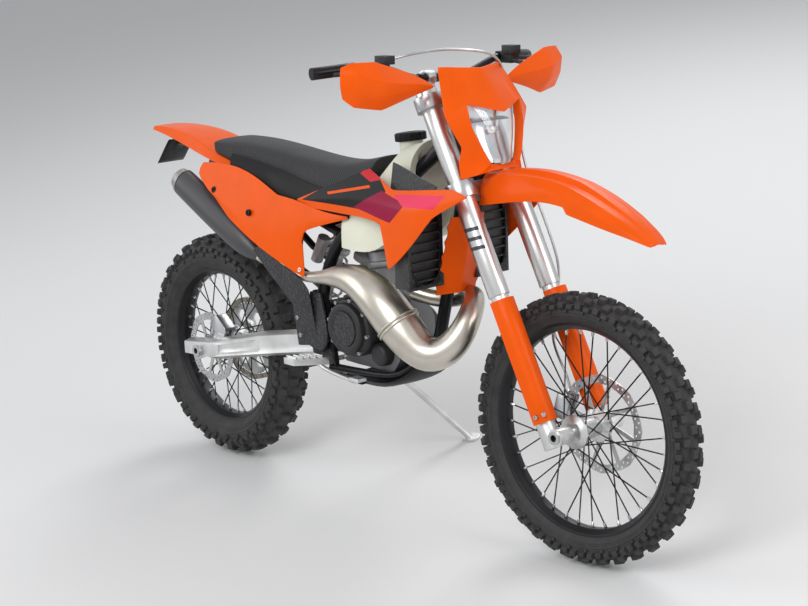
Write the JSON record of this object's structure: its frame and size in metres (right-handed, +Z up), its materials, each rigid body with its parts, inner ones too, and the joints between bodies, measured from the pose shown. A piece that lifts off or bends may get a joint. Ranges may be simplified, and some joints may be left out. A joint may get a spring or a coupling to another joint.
{
  "type": "enduro dirt bike",
  "caption": "Two-wheeled off-road motorcycle with long-travel fork, single-cylinder engine, expansion chamber, knobbed tyres and slim plastic bodywork, leaning on its side stand.",
  "frame": {"origin": "on the ground, under the middle of the parked bike's bounding box", "axes": "+X the way the bike faces, +Y to its left, where it leans, +Z up"},
  "size_m": [2.1728, 0.818, 1.3351],
  "materials": {
    "frame_paint": "satin black",
    "cast_alloy": "cast, satin",
    "case_black": "matt black",
    "barrel_alloy": "cast, dull",
    "pipe_metal": "satin, slightly heated",
    "silencer_grey": "satin dark grey",
    "tank_plastic": "milky, half clear",
    "seat_cover": "ribbed, matt",
    "orange_plastic": "smooth",
    "core_alloy": "dull",
    "black_plastic": "grained",
    "shock_metal": "silver",
    "controls_metal": "forged",
    "chain_steel": "oiled",
    "caliper_grey": "satin",
    "axle_steel": "plain",
    "clamp_alloy": "milled",
    "fork_silver": "silver",
    "lens_clear": "clear",
    "bar_black": "matt",
    "hose_cover": "braided",
    "tyre_rubber": "knobbed",
    "rim_black": "satin",
    "hub_alloy": "cast",
    "disc_steel": "ground",
    "sprocket_steel": "plain",
    "stand_alloy": "forged"
  },
  "bodies": {
    "chassis": {"frame": "frame_paint", "subframe": "frame_paint", "swingarm": "cast_alloy", "engine_case": "case_black", "engine_covers": "case_black", "cylinder_head": "barrel_alloy", "exhaust_pipe": "pipe_metal", "silencer": "silencer_grey", "fuel_tank": "tank_plastic", "seat": "seat_cover", "rear_fender": "orange_plastic", "side_panels": "orange_plastic", "shrouds": "orange_plastic", "radiators": "core_alloy", "radiator_guards": "black_plastic", "rear_shock": "shock_metal", "skid_plate": "black_plastic", "frame_guards": "black_plastic", "foot_controls": "controls_metal", "chain": "chain_steel", "rear_caliper": "caliper_grey", "rear_axle": "axle_steel"},
    "steering": {"triple_clamps": "clamp_alloy", "fork_tubes": "fork_silver", "fork_legs": "cast_alloy", "fork_guards": "orange_plastic", "front_axle": "axle_steel", "front_fender": "orange_plastic", "headlight_mask": "orange_plastic", "headlight": "lens_clear", "handlebar": "bar_black", "hand_guards": "orange_plastic", "bar_controls": "case_black", "front_caliper": "caliper_grey", "brake_hose": "hose_cover"},
    "front_wheel": {"front_tyre": "tyre_rubber", "front_rim": "rim_black", "front_hub": "hub_alloy", "front_disc": "disc_steel"},
    "rear_wheel": {"rear_tyre": "tyre_rubber", "rear_rim": "rim_black", "rear_hub": "hub_alloy", "rear_disc": "disc_steel", "rear_sprocket": "sprocket_steel"},
    "side_stand": {"side_stand": "stand_alloy"}
  },
  "joints": [
    {"name": "steering", "type": "hinge", "parent": "chassis", "child": "steering", "pos_m": [0.68457, -0.16352, 0.32356], "axis": [-0.4449, 0.1555, 0.882], "range_deg": [-43.84, 36.16]},
    {"name": "front_wheel_spin", "type": "hinge", "parent": "steering", "child": "front_wheel", "pos_m": [0.73551, -0.15537, 0.34782], "axis": [-0.06, 0.9774, -0.2026], "continuous": true},
    {"name": "rear_wheel_spin", "type": "hinge", "parent": "chassis", "child": "rear_wheel", "pos_m": [-0.74639, -0.16047, 0.34086], "axis": [0, 0.9848, -0.1736], "continuous": true},
    {"name": "side_stand_fold", "type": "hinge", "parent": "chassis", "child": "side_stand", "pos_m": [-0.20634, -0.03885, 0.35109], "axis": [0.2288, 0.7826, 0.579], "range_deg": [0, 105.22]}
  ]
}
